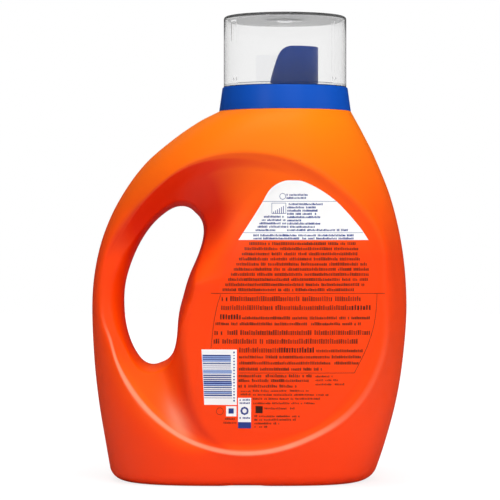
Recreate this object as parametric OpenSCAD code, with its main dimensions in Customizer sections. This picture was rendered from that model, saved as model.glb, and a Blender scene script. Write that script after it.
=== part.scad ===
// Laundry detergent bottle with a moulded-in grip, a pouring collar and a measuring cap.
// Millimetres, +Z up. The bottle stands on Z = 0 with the middle of its outline at X = 0.
// The grip is on the -X side and the faces look along -Y and +Y.

/* [Blown bottle] */
// Width of the bottle across the grip and the body
body_w = 188.4; // [168:0.2:206]
// Depth of the bottle over its two faces
body_d = 114.8; // [104:0.2:126]
// Height of the blown body up to the underside of the collar
body_h = 220; // [200:1:240]
// Thickness of the blown wall
wall = 1.5; // [1:0.1:2]
// Radius of the base edge where the bottle stands
base_r = 7.3; // [4:0.5:10]
// Depth of the base contact outline, front to back
foot_d = 87.6; // [76:0.2:92]
// Height of the hollow pushed up into the base
push_up = 5; // [2:0.5:8]
// Height of the small relief in the middle of the base edge
relief_h = 1.3; // [0.5:0.1:2]
// Width of that relief
relief_w = 34; // [20:1:46]
// Place of the middle of that relief, across
relief_x = -2.6; // [-8:0.2:4]

/* [Grip] */
// Place of the middle of the grip hole, across
grip_x = -53.2; // [-56:0.2:-50]
// Place of the middle of the grip hole, up
grip_z = 112.7; // [108:0.1:116]
// Lean of the grip hole towards the neck, in degrees
grip_lean = 12; // [6:1:16]
// How much longer the grip hole is than it is wide
grip_stretch = 2.2; // [1.9:0.05:2.4]
// Half depth of the grip where the hand closes round it
grip_half = 17.2; // [15:0.1:20]

/* [Face] */
// Height of the rolled rim above the shoulder side of the face
arch_step = 3.3; // [1:0.1:4]
// Reach of the rounding on both sides of the face's edge, where it is widest
edge_w = 8; // [5:0.5:10]

/* [Neck] */
// Place of the neck across the bottle
neck_x = 21.4; // [17:0.1:26]
// Outer diameter of the neck
neck_d = 70.6; // [66:0.2:72]
// Height of the neck above the shoulder
neck_h = 11; // [8:0.5:12]
// How far the bead that the collar snaps over stands out
bead = 0.6; // [0.3:0.1:1]
// Height of that bead's foot above the shoulder
bead_z = 3; // [2:0.5:5]
// Height of that bead from edge to edge
bead_h = 3; // [2:0.5:4]

/* [Collar] */
// Diameter of the collar at its lower edge
collar_low_d = 79; // [76:0.2:82]
// Diameter of the collar at its rim
collar_top_d = 75; // [74:0.1:79]
// Height of the collar
collar_h = 14.3; // [12:0.2:18]
// Thickness of the collar's walls
collar_wall = 1.5; // [1:0.1:2]
// Clearance between the collar, the neck and the cap
fit_gap = 0.2; // [0.1:0.05:0.4]
// Depth of the drain floor below the shoulder, on the spout's side
drain_drop = 6.5; // [4:0.5:9]
// Fall of the drain floor towards the grip, in degrees
drain_fall = 5; // [2:0.5:8]

/* [Spout] */
// Outer diameter of the spout
spout_d = 29.6; // [24:0.2:32]
// Place of the spout from the neck's axis, away from the grip
spout_off = 5.1; // [0:0.1:8]
// Height of the pouring lip above the collar's rim
spout_h = 24.2; // [16:0.5:30]
// Thickness of the spout's wall
spout_wall = 1.4; // [1:0.1:2]
// How far the spout's tube goes down past the drain floor
spout_dip = 3; // [2:0.5:5]
// Width of the drain slot at the foot of the spout
slot_w = 7; // [4:0.5:10]

/* [Cap] */
// Outer diameter of the measuring cap
cap_d = 73.4; // [70:0.1:75]
// Height of the cap above the collar's rim
cap_h = 42.5; // [34:0.2:50]
// Thickness of the cap's wall
cap_wall = 1.6; // [1.2:0.1:2.2]
// Radius of the cap's upper edge
cap_r = 1.7; // [1:0.1:4]
// Radius of its inner edge, where the side meets the top
cap_in_r = 0.9; // [0.6:0.1:2]
// Length of the threaded skirt that goes down into the collar
skirt_h = 9; // [6:0.5:11]
// Room for the thread between that skirt and the collar's inner wall
thread_room = 1.2; // [0.8:0.1:1.6]

/* [Back label] */
// Thickness of the label's film
label_t = 0.2; // [0.1:0.05:0.4]
// Gap between the film and the moulded face
label_gap = 0.25; // [0.15:0.05:0.4]

/* [Hidden] */
$fn = 96;

// The outlines below are drawn at this width, depth and height, and stretched to the ones chosen.
drawn = [188.4, 114.8, 220];
wide = body_w / drawn[0];
deep = body_d / drawn[1];
tall = body_h / drawn[2];

// Edges of the front outline: [height, place across] from the base to the collar.
right_edge = [[0, 73.6], [21, 80.8], [47, 87.8], [73, 92], [104, 94.2], [136, 91.9], [167, 85.1],
    [193, 74.9], [209, 66.9], [220, (neck_x + collar_low_d / 2) / wide]];
left_edge = [[0, -82.2], [21, -85.9], [47, -90.2], [73, -93], [104, -94.2], [125, -92.5],
    [146, -87.4], [167, -77.9], [188, -63], [203, -45.9], [214, -29.9],
    [220, (neck_x - collar_low_d / 2) / wide]];
// Half depth of the middle at each height, as the sides see it.
core_half = [[0, foot_d / 2 / deep + base_r], [10, 52.7], [21, 54.8], [42, 57.4], [73, 58.4], [104, 58.4],
    [157, 57.9], [183, 55.3], [198, 51.4], [209, 47.6], [216, 43.3], [220, collar_low_d / 2 / deep]];
// Squareness of the sections at each height, where 2 is an ellipse.
square_right = [[0, 4.4], [63, 5], [115, 4.6], [157, 3.4], [193, 2.5], [220, 2]];
square_left = [[0, 3.6], [42, 3.1], [83, 2.3], [157, 2.3], [198, 2.2], [220, 2]];

// Reach of the grip hole's edge from its middle, every 22.5 degrees, before it is stretched and leant.
hole_reach = [14, 16.5, 25.5, 25, 23.5, 22, 21.5, 21.5, 21.5, 20, 19, 19, 20, 21, 21.5, 15];
// Reach of the face's rolled edge from the same middle, every 15 degrees.
face_reach = [133.5, 134.5, 123, 109.5, 94.5, 79, 63, 51, 43, 39, 37, 35.5, 35.5, 36.5, 38, 41,
    49, 60, 74.5, 91.5, 107.5, 121, 132.5, 136];
// Height of the rolled rim as a share of the largest, and how far it reaches over the face.
rim_share = [0.3, 0.5, 0.8, 1, 1, 1, 1, 0.8, 0.4, 0.1, 0, 0, 0, 0, 0.1, 0.35, 0.5, 0.55, 0.6, 0.6, 0.6,
    0.55, 0.5, 0.35];
rim_reach = [9, 9, 10, 11, 12, 13, 13, 12, 10, 10, 10, 10, 10, 10, 9, 8, 7, 7, 7, 7, 7, 7, 7, 8];
// How hollow the rim's slope is, where 1 is straight.
rim_full = 1.5;
// Width of the rounding at the face's edge, as a share of the widest.
edge_share = [0.6, 0.6, 0.6, 0.5, 0.5, 0.5, 0.5, 0.6, 0.7, 0.7, 0.7, 0.7, 0.7, 0.6, 0.5, 0.4, 0.35, 0.35,
    0.35, 0.35, 0.35, 0.35, 0.4, 0.5];
// Step over which the fold at that edge is measured.
fold_step = 0.2;
// Reach of the rounding at the grip hole's edge, and share of the depth lost in the hollow beside it.
hole_round = [7, 7, 6, 5, 4, 3.5, 3.5, 4, 5, 7, 8, 9, 9, 9, 8, 6, 4, 4, 4, 4, 5, 6, 6, 7];
dip_share = [0, 0, 0.1, 0.25, 0.35, 0.4, 0.38, 0.3, 0.2, 0.1, 0, 0, 0, 0, 0, 0, 0, 0, 0, 0, 0, 0, 0, 0];
// Share of the way to the face's edge that the hollow takes, and how it bends.
dip_from = 0.9;
dip_bend = 1.2;

// Half depth of the grip side at each height, where the grip itself is 1.
grip_side = [[0, 2.9], [20, 2.85], [31, 2.75], [40, 2.6], [50, 2.35], [65, 1.95], [78, 1.6], [94, 1.25],
    [110, 1.05], [125, 1], [140, 1], [154, 1.25], [169, 1.7], [188, 2.2], [220, 2.3]];
// Where the grip side starts to swell into the belly, where it has done so, and how late it swells.
swell_from = [[0, -40], [26, -48], [37, -54], [48, -58], [63, -60], [83, -62], [104, -68.9], [220, -68.9]];
swell_to = [[0, 10], [20, -6], [28, -18], [37, -26], [48, -31], [63, -34], [83, -36], [104, -36],
    [120, -31], [136, -24], [152, -15], [163, -6], [183, 10], [220, 22]];
swell_bend = [[0, 1], [20, 1.2], [37, 1.8], [60, 2], [83, 1.3], [120, 1], [163, 0.8], [220, 0.8]];
// Half depth, place and roundness of the belly.
belly_half = drawn[1] / 2;
belly_x = 26;
belly_z = 89;
belly_round_x = 500;
belly_round_z = 1150;

// Steps of the outline and of the base.
corner_steps = 4;
right_steps = 17;
left_steps = 19;
mouth_steps = 16;
foot_steps = 16;
foot_rows = 10;
// Steps up the hole's edge, over the face and down the side, for the outer and the inner skin.
outer_n = [6, 8, 6];
inner_n = [3, 5, 4];
// How closely the steps crowd at the hole, at the face's edge and at the top of the left side.
hole_crowd = 1.7;
face_crowd = 1.4;
left_crowd = 1.5;

// Outline of the label on the face: reach from its middle, every 15 degrees.
label_x = 21;
label_z = 99;
label_reach = [54.5, 55, 60, 63.5, 67.5, 73.5, 78.5, 64, 52, 46.5, 43, 41, 43, 46.5, 57.5, 71, 69.5, 69,
    67, 65.5, 59.5, 55.5, 53.5, 53.5];
label_rays = 48;
label_rings = 7;
// Share of a ring that the flat middle of the label takes.
label_hub = 0.15;

// How far a cutting shape overruns what it cuts.
over = 2;
rim_z = body_h + collar_h;
low_r = collar_low_d / 2;
neck_r = neck_d / 2;
bore_r = neck_r - wall;
wall_in_r = bore_r - fit_gap;
cup_r = wall_in_r - collar_wall;
skirt_r = cup_r - thread_room;

// Smooth step from 0 to 1.
function ease(t) = let (c = min(max(t, 0), 1)) c * c * (3 - 2 * c);

// Which stretch of a row of stations a place lies in.
function stretch(s, p) = max([for (k = [0:len(s) - 2]) if (k == 0 || p >= s[k][0]) k]);

function lean(s, k) =
    let (a = s[max(k - 1, 0)], b = s[min(k + 1, len(s) - 1)]) (b[1] - a[1]) / (b[0] - a[0]);

// Value of the smooth curve through [place, value] stations.
function along(s, p) =
    let (k = stretch(s, p), a = s[k], b = s[k + 1], d = b[0] - a[0])
    let (t = (p - a[0]) / d, m = lean(s, k) * d, n = lean(s, k + 1) * d)
    a[1] + t * (m + t * (3 * (b[1] - a[1]) - 2 * m - n + t * (2 * (a[1] - b[1]) + m + n)));

// Value of the smooth closed curve through evenly spaced values round the middle of the grip hole.
function around(v, angle) =
    let (n = len(v), q = (angle + 720) % 360 * n / 360, k = floor(q), t = q - k)
    let (a = v[(k + n - 1) % n], b = v[k % n], c = v[(k + 1) % n], d = v[(k + 2) % n])
    b + 0.5 * t * (c - a + t * (2 * a - 5 * b + 4 * c - d + t * (3 * (b - c) + d - a)));

// Reach of the grip hole's edge in a direction, on the drawing.
function hole_at(angle) =
    let (across = cos(angle + grip_lean), up = sin(angle + grip_lean) / grip_stretch)
    around(hole_reach, atan2(up, across)) / norm([across, up]);

// Half depth of the moulded face at a place on the drawing, before its rim and its grip edge.
function face_at(x, z) =
    let (belly = belly_half - pow(x - belly_x, 2) / (2 * belly_round_x)
        - pow(z - belly_z, 2) / (2 * belly_round_z))
    let (from = along(swell_from, z), to = along(swell_to, z), side = grip_half * along(grip_side, z))
    let (way = min(max((x - from) / (to - from), 0), 1))
    side + (belly - side) * ease(pow(way, along(swell_bend, z)));

// Half depth inside the face's edge, hollowed beside the grip hole and rounded into it.
function inside_at(angle, r, inset) =
    let (hole = hole_at(angle) + inset, edge = around(face_reach, angle))
    let (rim = pow(max(0, 1 - (edge - r) / around(rim_reach, angle)), rim_full))
    let (dip = pow(min(max(1 - (r - hole) / (dip_from * (edge - hole)), 0), 1), dip_bend))
    let (w = min(max(1 - (r - hole) / around(hole_round, angle), 0), 1))
    let (x = grip_x + r * cos(angle), z = grip_z + r * sin(angle))
    let (face = face_at(x, z) + arch_step * around(rim_share, angle) * rim)
    (face * (1 - around(dip_share, angle) * dip) - inset) * sqrt(1 - w * w);

// Rounding of the base edge, at a height over the lowest point.
function toe(r, z) = r - sqrt(max(0, r * r - pow(max(0, r - z), 2)));

// Place of an edge of the outline at a height, for the outside or a wall's thickness further in.
function edge_x(s, side, z, inset) =
    let (m = along(s, z + 0.5) - along(s, z - 0.5))
    along(s, z) - side * (inset * sqrt(1 + m * m) + toe(base_r - inset, z - inset));

// Half depth of the plain form that the sides, the shoulder and the base follow.
function core_at(x, z, inset) =
    let (a = edge_x(left_edge, -1, z, inset), b = edge_x(right_edge, 1, z, inset))
    let (c = (2 * x - a - b) / (b - a), n = along(c > 0 ? square_right : square_left, z))
    (along(core_half, z) - inset - toe(base_r - inset, z - inset)) * sqrt(max(0, 1 - pow(abs(c), n)));

// Relief in the middle of the base edge.
function relief_at(x) = relief_h * pow(cos(min(abs(x - relief_x) / relief_w, 0.5) * 180), 2);

// Point of the base line: [across, up].
function foot_point(c, inset) =
    let (a = edge_x(left_edge, -1, inset, inset), b = edge_x(right_edge, 1, inset, inset))
    let (x = (a + b + (b - a) * c) / 2) [x, relief_at(x) + inset];

function edge_point(s, side, z, inset) = [edge_x(s, side, z, inset), z];

// Heights of the outline's points, from the base corner to the mouth.
function corner_z(k, inset) = inset + (base_r - inset) * (1 - cos(90 * k / corner_steps));
function right_z(k, inset) = k <= corner_steps ? corner_z(k, inset)
    : base_r + (drawn[2] - inset - base_r) * (k - corner_steps) / right_steps;
function left_z(k, inset) = k <= corner_steps ? corner_z(k, inset)
    : base_r + (drawn[2] - inset - base_r) * (1 - pow(1 - (k - corner_steps) / left_steps, left_crowd));

// Point of the round mouth of the body, under the collar.
function mouth_point(t, inset) =
    let (z = drawn[2] - inset, a = edge_x(left_edge, -1, z, inset), b = edge_x(right_edge, 1, z, inset))
    [(a + b + (b - a) * cos(t)) / 2, z];

right_n = corner_steps + right_steps;
left_n = corner_steps + left_steps;
// The whole outline, anticlockwise from the right end of the base line.
function outline(inset) = concat(
    [for (k = [0:right_n - 1]) edge_point(right_edge, 1, right_z(k, inset), inset)],
    [for (k = [0:mouth_steps]) mouth_point(180 * k / mouth_steps, inset)],
    [for (k = [left_n - 1:-1:0]) edge_point(left_edge, -1, left_z(k, inset), inset)],
    [for (k = [1:foot_steps - 1]) foot_point(-cos(180 * k / foot_steps), inset)]);
mouth_0 = right_n;
mouth_1 = right_n + mouth_steps;
foot_0 = mouth_1 + left_n;
rays = foot_0 + foot_steps;

// Steps along a ray: up the hole's edge, over the face, down the side.
function ray_levels(angle, hole, end, n) =
    let (edge = around(face_reach, angle), rise = around(hole_round, angle))
    concat([for (j = [0:n[0] - 1]) hole + rise * pow(j / n[0], hole_crowd)],
        [for (j = [0:n[1] - 1]) hole + rise + (edge - hole - rise) * (1 - pow(1 - j / n[1], face_crowd))],
        [for (j = [0:n[2]]) edge + (end - edge) * (1 - cos(180 * j / n[2])) / 2]);

// Half depth past the face's edge: the plain form, brought up to the face there.
function side_at(angle, r, end, inset) =
    let (edge = around(face_reach, angle), v = (r - edge) / (end - edge))
    let (x = grip_x + edge * cos(angle), z = grip_z + edge * sin(angle))
    let (lift = inside_at(angle, edge, inset) - core_at(x, z, inset))
    core_at(grip_x + r * cos(angle), grip_z + r * sin(angle), inset) + lift * pow(1 - v, 2);

// Half depth at a step of a ray, with the fold at the face's edge rounded.
function depth_at(angle, r, end, inset) =
    let (edge = around(face_reach, angle), reach = edge_w * around(edge_share, angle))
    let (form = r <= edge ? inside_at(angle, r, inset) : side_at(angle, r, end, inset))
    let (near = [inside_at(angle, edge - fold_step, inset), side_at(angle, edge + fold_step, end, inset)])
    let (fold = (2 * inside_at(angle, edge, inset) - near[0] - near[1]) / fold_step)
    form - fold * reach / 4 * pow(max(0, 1 - abs(r - edge) / reach), 2);

// Points of one side of a skin, ray by ray, in real sizes. The side is -1 in front and 1 behind.
function skin(inset, n, side) =
    [for (o = outline(inset))
        let (d = [o[0] - grip_x, o[1] - grip_z], angle = atan2(d[1], d[0]), end = norm(d))
        for (r = ray_levels(angle, hole_at(angle) + inset, end, n))
            [(grip_x + r * cos(angle)) * wide, side * max(0, depth_at(angle, r, end, inset)) * deep,
                (grip_z + r * sin(angle)) * tall]];

function flip(f, turn) = turn ? [for (k = [len(f) - 1:-1:0]) f[k]] : f;

// Base under a skin: rows of points across the base line, with the pushed-up middle.
base_square = [6, 4];
push_from = 0.45;
push_over = 0.5;
function row(q) = cos(180 * q / foot_rows);
function base_z(c, q, x, inset) =
    let (in = (1 - pow(c, base_square[0])) * (1 - pow(q, base_square[1])))
    inset + push_up * ease((in - push_from) / push_over) + relief_at(x) * ease(1 - 2 * in);
function base_points(inset) =
    [for (k = [1:foot_steps - 1])
        let (c = -cos(180 * k / foot_steps), p = foot_point(c, inset), y = core_at(p[0], inset, inset))
        for (j = [1:foot_rows - 1])
            [p[0] * wide, -y * row(j) * deep, base_z(c, row(j), p[0], inset)]];

// Rings of the neck: [radius, height], outside and then inside.
neck_rings = [[neck_r, body_h], [neck_r, body_h + bead_z], [neck_r + bead, body_h + bead_z + bead_h / 3],
    [neck_r + bead, body_h + bead_z + 2 * bead_h / 3], [neck_r, body_h + bead_z + bead_h],
    [neck_r, body_h + neck_h], [bore_r, body_h + neck_h], [bore_r, body_h - wall]];
function ring_points() =
    [for (g = neck_rings, k = [0:2 * mouth_steps - 1])
        let (a = 180 * k / mouth_steps) [neck_x + g[0] * cos(a), -g[0] * sin(a), g[1]]];

module bottle_skin() {
    lo = outer_n[0] + outer_n[1] + outer_n[2];
    li = inner_n[0] + inner_n[1] + inner_n[2];
    front = skin(0, outer_n, -1);
    back = skin(0, outer_n, 1);
    in_front = skin(wall, inner_n, -1);
    in_back = skin(wall, inner_n, 1);
    base = base_points(0);
    in_base = base_points(wall);
    rings = ring_points();
    b0 = len(front);
    c0 = 2 * b0;
    d0 = c0 + len(in_front);
    e0 = d0 + len(in_back);
    g0 = e0 + len(base);
    h0 = g0 + len(in_base);
    // A point on the parting line belongs to both sides, so the back takes the front's.
    function shared(i, j, l) =
        j == 0 || (j == l && !((i > mouth_0 && i < mouth_1) || i > foot_0));
    function at(start, step, l, i, j, behind) =
        let (k = (i % rays) * (l + 1) + j) start + (behind && !shared(i % rays, j, l) ? step : 0) + k;
    function o(i, j, behind) = at(0, b0, lo, i, j, behind);
    function u(i, j, behind) = at(c0, d0 - c0, li, i, j, behind);
    function sheet(l, behind, inner) =
        [for (i = [0:rays - 1], j = [0:l - 1])
            let (a = inner ? u(i, j, behind) : o(i, j, behind))
            let (b = inner ? u(i, j + 1, behind) : o(i, j + 1, behind))
            let (c = inner ? u(i + 1, j + 1, behind) : o(i + 1, j + 1, behind))
            let (d = inner ? u(i + 1, j, behind) : o(i + 1, j, behind))
            for (f = [[a, b, c], [a, c, d]]) flip(f, behind == inner)];
    // Point of the base by its place along the base line and across it.
    function foot(k, q, inner) =
        q == 0 || k == 0 || k == foot_steps ? (inner ? u(foot_0 + k, li, false) : o(foot_0 + k, lo, false))
        : q == foot_rows ? (inner ? u(foot_0 + k, li, true) : o(foot_0 + k, lo, true))
        : (inner ? g0 : e0) + (k - 1) * (foot_rows - 1) + q - 1;
    function base_faces(inner) =
        [for (k = [0:foot_steps - 1], q = [0:foot_rows - 1])
            let (a = foot(k, q, inner), b = foot(k, q + 1, inner))
            let (c = foot(k + 1, q + 1, inner), d = foot(k + 1, q, inner))
            for (f = [[a, b, c], [a, c, d]])
                if (f[0] != f[1] && f[1] != f[2] && f[2] != f[0]) flip(f, !inner)];
    // Point of the mouth by its turn, on the body, on a ring of the neck, or inside the body.
    last = len(neck_rings);
    n = 2 * mouth_steps;
    function lip(g, k) =
        let (t = k % n, i = t <= mouth_steps ? t : n - t, behind = t > mouth_steps)
        g < 0 ? o(mouth_0 + i, lo, behind) : g == last ? u(mouth_0 + i, li, behind) : h0 + g * n + t;
    neck = [for (g = [-1:last - 1], k = [0:n - 1])
        let (a = lip(g, k), b = lip(g, k + 1), c = lip(g + 1, k + 1), d = lip(g + 1, k))
        for (f = [[a, c, d], [a, b, c]]) f];
    polyhedron(
        points = concat(front, back, in_front, in_back, base, in_base, rings),
        faces = concat(sheet(lo, false, false), sheet(lo, true, false), sheet(li, false, true),
            sheet(li, true, true), base_faces(false), base_faces(true), neck),
        convexity = 8);
}

module bottle() {
    color("#FF5A06") bottle_skin();
}

// Wall of revolution about the neck's axis between two radii and two heights.
module ring(r_out, r_in, low, high) {
    translate([neck_x, 0, low])
        difference() {
            cylinder(r = r_out, h = high - low);
            translate([0, 0, -over]) cylinder(r = r_in, h = high - low + 2 * over);
        }
}

floor_z = body_h - drain_drop;
low_floor_z = floor_z - wall_in_r * tan(drain_fall);
lip_z = rim_z + spout_h;
spout_r = spout_d / 2;
spout_x = neck_x + spout_off;
spout_bore_r = spout_r - spout_wall;
// Slant of the spout's open side: [height, place across], both from the spout's foot at the rim.
slant = [[0, 0], [7, 1.9], [14, 4], [18.3, 5.5], [21.4, 7.3], [23.3, 9.7], [24.2, 12.7]];

// Floor of the trough, which falls towards the grip so that drips run back into the bottle.
module drain_floor() {
    intersection() {
        translate([neck_x, 0, low_floor_z - over]) cylinder(r = wall_in_r, h = rim_z - low_floor_z);
        translate([neck_x, 0, floor_z]) rotate([0, -drain_fall, 0])
            translate([-collar_low_d, -collar_low_d, 0])
                cube([2 * collar_low_d, 2 * collar_low_d, collar_wall]);
    }
}

// What is cut away from the spout's tube on the grip side, so that it pours away from the hand.
module spout_cut() {
    foot = spout_x - spout_r;
    top = slant[len(slant) - 1];
    edge = [for (z = [0:0.5:top[0]]) [foot + along(slant, z), rim_z + z * spout_h / top[0]]];
    translate([0, spout_r + over, 0]) rotate([90, 0, 0])
        linear_extrude(height = 2 * (spout_r + over))
            polygon(concat([[foot - over, rim_z]], edge,
                [[foot + top[1], lip_z + over], [foot - over, lip_z + over]]));
}

module spout_tube() {
    difference() {
        translate([spout_x, 0, floor_z - spout_dip]) cylinder(r = spout_r, h = lip_z - floor_z + spout_dip);
        translate([spout_x, 0, floor_z - spout_dip - over])
            cylinder(r = spout_bore_r, h = lip_z - floor_z + spout_dip + 2 * over);
        spout_cut();
        translate([spout_x - spout_r - over, -slot_w / 2, low_floor_z + collar_wall])
            cube([spout_r, slot_w, 2 * slot_w]);
    }
}

module pour_collar() {
    color("#0154BC") {
        difference() {
            translate([neck_x, 0, body_h]) cylinder(r1 = low_r, r2 = collar_top_d / 2, h = collar_h);
            translate([neck_x, 0, body_h - over])
                cylinder(r = neck_r + bead + fit_gap, h = neck_h + over + fit_gap);
            translate([neck_x, 0, body_h - over]) cylinder(r = wall_in_r, h = collar_h + 2 * over);
        }
        ring(wall_in_r, cup_r, low_floor_z, rim_z);
        difference() {
            drain_floor();
            translate([spout_x, 0, low_floor_z - over]) cylinder(r = spout_bore_r, h = rim_z - low_floor_z);
        }
        spout_tube();
    }
}

module measuring_cap() {
    outer = cap_d / 2;
    inner = outer - cap_wall;
    top = rim_z + cap_h;
    under = top - cap_wall;
    color("#E9EEF2", 0.4)
        translate([neck_x, 0, 0])
            rotate_extrude()
                polygon(concat(
                    [[skirt_r - cap_wall, rim_z - skirt_h], [skirt_r, rim_z - skirt_h],
                        [skirt_r, rim_z + fit_gap], [outer, rim_z + fit_gap]],
                    [for (a = [0:15:90]) [outer - cap_r * (1 - cos(a)), top - cap_r * (1 - sin(a))]],
                    [[0, top], [0, under]],
                    [for (a = [90:-30:0])
                        [inner - cap_in_r * (1 - cos(a)), under - cap_in_r * (1 - sin(a))]],
                    [[inner, rim_z + fit_gap + cap_wall],
                        [skirt_r - cap_wall, rim_z + fit_gap + cap_wall]]));
}

// Face of the bottle under a point of the label.
function face_y(x, z) =
    let (d = [x - grip_x, z - grip_z]) inside_at(atan2(d[1], d[0]), norm(d), 0) * deep;
function label_points(lift) =
    [for (k = [0:label_rings], i = [0:label_rays - 1])
        let (a = 360 * i / label_rays, share = (k + label_hub) / (label_rings + label_hub))
        let (r = around(label_reach, a) * share)
        let (x = label_x + r * cos(a), z = label_z + r * sin(a))
        [x * wide, -face_y(x, z) - lift, z * tall]];

module back_label() {
    n = label_rays;
    m = (label_rings + 1) * n;
    under = label_points(label_gap);
    over = label_points(label_gap + label_t);
    function p(k, i, s) = s * m + k * n + i % n;
    sides = [for (k = [0:label_rings - 1], i = [0:n - 1], s = [0, 1])
        for (f = [[p(k, i, s), p(k + 1, i, s), p(k + 1, i + 1, s)],
                [p(k, i, s), p(k + 1, i + 1, s), p(k, i + 1, s)]]) flip(f, s == 1)];
    rims = [for (i = [0:n - 1])
        for (f = [[p(label_rings, i, 0), p(label_rings, i + 1, 1), p(label_rings, i + 1, 0)],
                [p(label_rings, i, 0), p(label_rings, i, 1), p(label_rings, i + 1, 1)]]) f];
    middle = [for (s = [0, 1]) flip([for (i = [0:n - 1]) p(0, i, s)], s == 1)];
    color("#F4F2EE")
        polyhedron(points = concat(under, over), faces = concat(sides, rims, middle), convexity = 4);
}

bottle();
pour_collar();
measuring_cap();
back_label();
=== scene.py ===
from math import cos, pi, radians, sin

import bmesh
import bpy
import numpy as np
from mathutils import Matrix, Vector


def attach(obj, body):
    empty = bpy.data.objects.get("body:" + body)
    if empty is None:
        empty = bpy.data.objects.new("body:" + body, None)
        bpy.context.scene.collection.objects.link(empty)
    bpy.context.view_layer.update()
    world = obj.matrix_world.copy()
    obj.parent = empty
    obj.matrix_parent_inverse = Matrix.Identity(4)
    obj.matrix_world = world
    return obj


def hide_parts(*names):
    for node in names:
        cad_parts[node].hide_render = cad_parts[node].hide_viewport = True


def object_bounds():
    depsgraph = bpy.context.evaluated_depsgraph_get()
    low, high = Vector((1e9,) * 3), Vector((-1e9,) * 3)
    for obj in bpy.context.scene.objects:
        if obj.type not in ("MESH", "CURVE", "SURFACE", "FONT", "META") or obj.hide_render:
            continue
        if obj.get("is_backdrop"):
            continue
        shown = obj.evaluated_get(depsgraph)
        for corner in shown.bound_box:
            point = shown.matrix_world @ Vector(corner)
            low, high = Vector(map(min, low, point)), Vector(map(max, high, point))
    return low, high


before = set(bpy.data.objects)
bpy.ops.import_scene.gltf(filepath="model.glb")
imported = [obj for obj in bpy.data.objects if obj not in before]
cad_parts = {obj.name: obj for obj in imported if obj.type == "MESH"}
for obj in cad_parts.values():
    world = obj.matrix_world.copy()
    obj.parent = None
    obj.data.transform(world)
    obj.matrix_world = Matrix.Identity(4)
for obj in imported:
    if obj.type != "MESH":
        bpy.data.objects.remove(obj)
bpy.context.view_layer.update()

# The camera stands in front of the bottle, almost level, with a long lens. Lengths are written in millimetres
# and made metres by this factor.
mm = 0.001
view_distance = 1440 * mm
view_height = 145.5 * mm
view_aim = Vector((0.4 * mm, 0, 137.1 * mm))
camera = bpy.data.objects.new("camera", bpy.data.cameras.new("camera"))
bpy.context.scene.collection.objects.link(camera)
camera.data.lens = 172.8
camera.data.sensor_width = 36
camera.location = (view_aim.x, -view_distance, view_height)
camera.rotation_euler = (view_aim - camera.location).to_track_quat("-Z", "Y").to_euler()
bpy.context.scene.camera = camera

# The bottle is one hollow piece of orange polyethylene, blown in a two-part mould. The grip is pinched
# through it, a rolled rim arches over the label panel on each face, and the base is pushed up.
body_d, body_h, wall = 114.7, 220.0, 1.5
# Rounding of the base's edge, depth of its foot, rise of its middle, and the low arch in its outline
base_r, foot_d, push_up = 7.3, 87.6, 5
relief_h, relief_w, relief_x = 1.3, 34, -2.6
# The neck, the bead that the collar snaps over, and the collar's foot on the shoulder
neck_x, neck_r, neck_h = 21.4, 35.3, 11
bead, bead_z, bead_h = 0.6, 3, 3
collar_low_r = 39.5
# By height: both side outlines, the half depth of the sides, and how square a level cut is
right_edge = [[0, 73.6], [21, 80.8], [47, 87.8], [73, 92], [104, 94.15], [136, 91.9], [167, 85.1],
              [193, 74.9], [209, 66.9], [220, neck_x + collar_low_r]]
left_edge = [[0, -82.2], [21, -85.9], [47, -90.2], [73, -93], [104, -94.18], [125, -92.5], [146, -87.4],
             [167, -77.9], [188, -63], [203, -45.9], [214, -29.9], [220, neck_x - collar_low_r]]
core_half = [[0, foot_d / 2 + base_r], [10, 52.7], [21, 54.8], [42, 57.4], [73, 58.4], [104, 58.4],
             [157, 57.9], [183, 55.3], [198, 51.4], [209, 47.6], [216, 43.3], [220, collar_low_r]]
square_right = [[0, 4.4], [63, 5], [115, 4.6], [157, 3.4], [193, 2.5], [220, 2]]
square_left = [[0, 3.6], [42, 3.1], [83, 2.3], [157, 2.3], [198, 2.2], [220, 2]]

# The grip's middle, the hole's lean and stretch, and the half depth of the plastic beside it
grip_x, grip_z = -53.2, 112.7
grip_lean, grip_stretch, grip_half = radians(12), 2.2, 17.2
# In even steps round the grip's middle, anticlockwise from its right: reach of the hole and of the face,
# height and width of the rolled rim, softness of the face's edge, fall of the side past it, rounding of the
# hole's edge, and depth of the hollow beside the hole
hole_reach = [14, 16.5, 25.5, 25, 23.5, 22, 21.5, 21.5, 21.5, 20, 19, 19, 20, 21, 21.5, 15]
face_reach = [133.5, 134.5, 123, 109.5, 94.5, 79, 63, 51, 43, 39, 37, 35.5, 35.5, 36.5, 38, 41, 49, 60, 74.5,
              91.5, 107.5, 121, 132.5, 136]
rim_share = [0.3, 0.5, 0.8, 1, 1, 1, 1, 0.8, 0.4, 0.1, 0, 0, 0, 0, 0.1, 0.35, 0.5, 0.55, 0.6, 0.6, 0.6, 0.55,
             0.5, 0.35]
rim_reach = [9, 9, 10, 11, 12, 13, 13, 12, 10, 10, 10, 10, 10, 10, 9, 8, 7, 7, 7, 7, 7, 7, 7, 8]
edge_share = ([0.5, 0.45, 0.4, 0.3] + [0.25] * 5 + [0.3, 0.4, 0.5, 0.5, 0.4, 0.3, 0.25] + [0.2] * 6
              + [0.3, 0.45])
side_fall = [2] * 13 + [2.5, 3.5] + [4] * 7 + [3.5, 2.5]
hole_round = [7, 7, 6, 5, 4, 3.5, 3.5, 4, 5, 7, 8, 9, 9, 9, 8, 6, 4, 4, 4, 4, 5, 6, 6, 7]
dip_share = [0, 0, 0.1, 0.25, 0.35, 0.4, 0.38, 0.3, 0.2, 0.1] + [0] * 14
dip_from, dip_bend = 0.9, 1.2
arch_step, rim_full, edge_w = 3.3, 1.5, 8
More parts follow.
